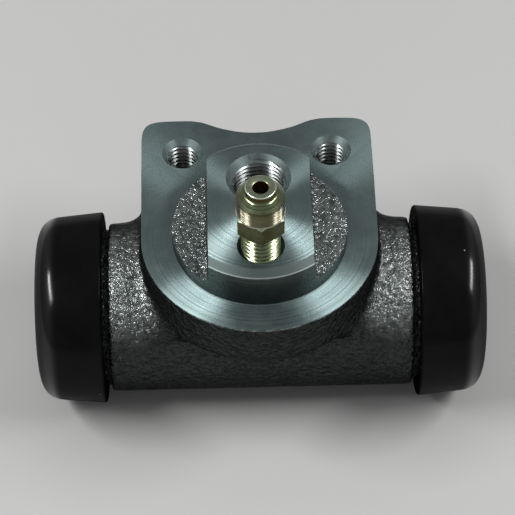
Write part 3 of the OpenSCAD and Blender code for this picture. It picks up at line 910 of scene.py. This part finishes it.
def skirtProfile(values):
    # From the rim over the skirt, its corner and the mouth, and inside back to the bead in the groove
    rimX, soft, end = values["rimX"], values["rimRound"], bootHigh.x
    rim = (bootHigh.z - bootLow.z) / 2
    mouth, wall, gap = values["mouth"], values["wall"], values["seatGap"]
    edge = wall / 2
    seat, bead = machined["seatRadius"] + gap, machined["grooveRadius"] + gap
    profile = [(rimX, seat)] + bend((rimX + soft, rim - soft), soft, -90, 0, 8)
    # The skirt tapers in a straight line, and a corner of rising curvature turns it to the flat end
    length, power, steps = values["cornerLength"], 2 / values["cornerPower"], values["cornerSteps"]
    run = end - profile[-1][0] - length
    low = rim - values["taper"] - values["cornerDepth"]
    for i in range(steps + 1):
        angle = math.pi / 2 * (i / steps) ** 1.5
        part = math.sin(angle) ** power
        line = rim - values["taper"] * (1 + part * length / run)
        profile.append((end - length * (1 - part), low + (line - low) * math.cos(angle) ** power))
    profile = [point for point in profile if point[1] > mouth + edge]
    profile += bend((end - edge, mouth + edge), edge, 90, 180, 8)
    profile += [(end - wall, mouth + wall)]
    hollow = (end - wall - values["innerLength"], rim - values["taper"] - wall - values["innerDepth"])
    profile += bend(hollow, values["innerLength"], 90, 0, 12, values["innerDepth"])
    beadFrom, beadTo = machined["grooveFrom"] + gap, machined["grooveTo"] - gap
    profile += [(bodyHigh.x + gap, seat), (beadTo, seat), (beadTo, bead), (beadFrom, bead), (beadFrom, seat)]
    return profile


def foldProfile(values):
    # The sleeve behind the mouth, with the lip that sits in the piston's groove
    start, near = bootHigh.x - values["wall"] - values["foldIn"], values["mouth"] + values["foldGap"]
    far = values["mouth"] + values["wall"]
    return [(start, near), (values["lipTo"], near), (values["lipTo"], values["lip"]),
            (values["lipFrom"], values["lip"]), (values["lipFrom"], far), (start, far)]


def makeBoot(values, side, name, rubber):
    # The skirt is lathed in place between the housing and the piston, and the fold rides on the piston
    skirt = lathe(name + "_skirt", skirtProfile(values), onBore(side), 160, loop=True)
    fold = lathe(name + "_fold", foldProfile(values), onBore(side), loop=True)
    for piece in (skirt, fold):
        dress(piece, rubber)
        crease(piece, 34)
        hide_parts(name)
    pistonBody = name.replace("boot", "piston")
    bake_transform(skirt)
    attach(fold, pistonBody)


# Return spring
springForm = {"wire": 1.2, "turns": 6.0, "stepsPerTurn": 36, "sides": 14}
wireLook = {"dark": (0.30, 0.31, 0.325), "light": (0.46, 0.47, 0.49), "patch": (900, 3),
            "contrast": (0.35, 0.7), "metallic": 1.0, "roughness": 0.24, "spread": 0.12}


def springTree(material):
    # Half a coil spring, from its middle to a closed turn at one end
    inputs = {"Side": 1.0, "Wire": 1.0, "Turns": 6.0, "Reach": springHigh.x,
              "Outer Radius": (springHigh.z - springLow.z) / 2, "Points": 100, "Sides": 12}
    tree, bench, size = treeWith("coil_spring", inputs)
    line = bench.node("GeometryNodeCurvePrimitiveLine", {}, {"End": (1, 0, 0)})
    path = bench.node("GeometryNodeResampleCurve", {}, {"Curve": line, "Count": size["Points"]})
    half = size["Turns"] / 2
    turn = bench.node("GeometryNodeSplineParameter", output="Factor") * half
    thick = size["Wire"] / 2
    reach = size["Reach"] - thick
    along = (turn * (reach - size["Wire"]) / (half - 1)).low(reach - size["Wire"] * (half - turn))
    angle = (half + size["Side"] * turn) * (2 * math.pi)
    radius = size["Outer Radius"] - thick
    point = bench.node("ShaderNodeCombineXYZ", {}, {
        "X": along * size["Side"], "Y": radius * angle.math("COSINE"),
        "Z": radius * angle.math("SINE") + boreZ})
    coil = bench.node("GeometryNodeSetPosition", {}, {"Geometry": path, "Position": point})
    ring = bench.node("GeometryNodeCurvePrimitiveCircle", {}, {"Resolution": size["Sides"], "Radius": thick})
    swept = bench.node("GeometryNodeCurveToMesh", {},
                       {"Curve": coil, "Profile Curve": ring, "Fill Caps": True})
    endTree(bench, swept, material)
    return tree


def makeSpring(values):
    # Two halves, each from the middle of the spring to a closed turn at one end
    tree = springTree(patchedFinish("spring_wire", wireLook))
    size = {"Wire": values["wire"], "Turns": values["turns"], "Sides": values["sides"],
            "Points": round(values["turns"] / 2 * values["stepsPerTurn"])}
    for side, name in ((-1, "left"), (1, "right")):
        coil = growTree(name + "_spring_half", tree, {**size, "Side": float(side)})
        crease(coil, 50)
        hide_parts("return_spring")
        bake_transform(coil)


# Pistons, cup seals and expanders keep their solids and get a finish
pistonLook = {"dark": (0.52, 0.53, 0.545), "light": (0.64, 0.645, 0.655), "patch": (260, 3),
              "contrast": (0.35, 0.7), "metallic": 1.0, "roughness": 0.27, "spread": 0.08,
              "rings": ((0.14, 0.22), (0.5, 0.12))}
cupLook = {"dark": (0.012, 0.012, 0.013), "light": (0.03, 0.03, 0.031), "patch": (300, 3),
           "contrast": (0.35, 0.7), "metallic": 0.0, "roughness": 0.42, "spread": 0.15}
expanderLook = {"dark": (0.44, 0.41, 0.30), "light": (0.58, 0.54, 0.42), "patch": (420, 4),
                "contrast": (0.35, 0.7), "metallic": 1.0, "roughness": 0.25, "spread": 0.15}


def finishInside():
    finishes = {"piston": patchedFinish("turned_alloy", pistonLook),
                "cup_seal": patchedFinish("cup_rubber", cupLook),
                "cup_expander": patchedFinish("pressed_plate", expanderLook)}
    for nodeName, finish in finishes.items():
        for side in ("left", "right"):
            dress(frame["nodes"][f"{side}_{nodeName}"], finish)


thread = makeBody(castBody, machined)
makeScrew(screwForm, thread)
rubber = bootRubber(rubberLook)
for side, name in ((-1, "left_boot"), (1, "right_boot")):
    makeBoot(bootForm, side, name, rubber)
print("boots are made")
makeSpring(springForm)
print("return spring is wound")
finishInside()
print("pistons, cup seals and expanders are finished")
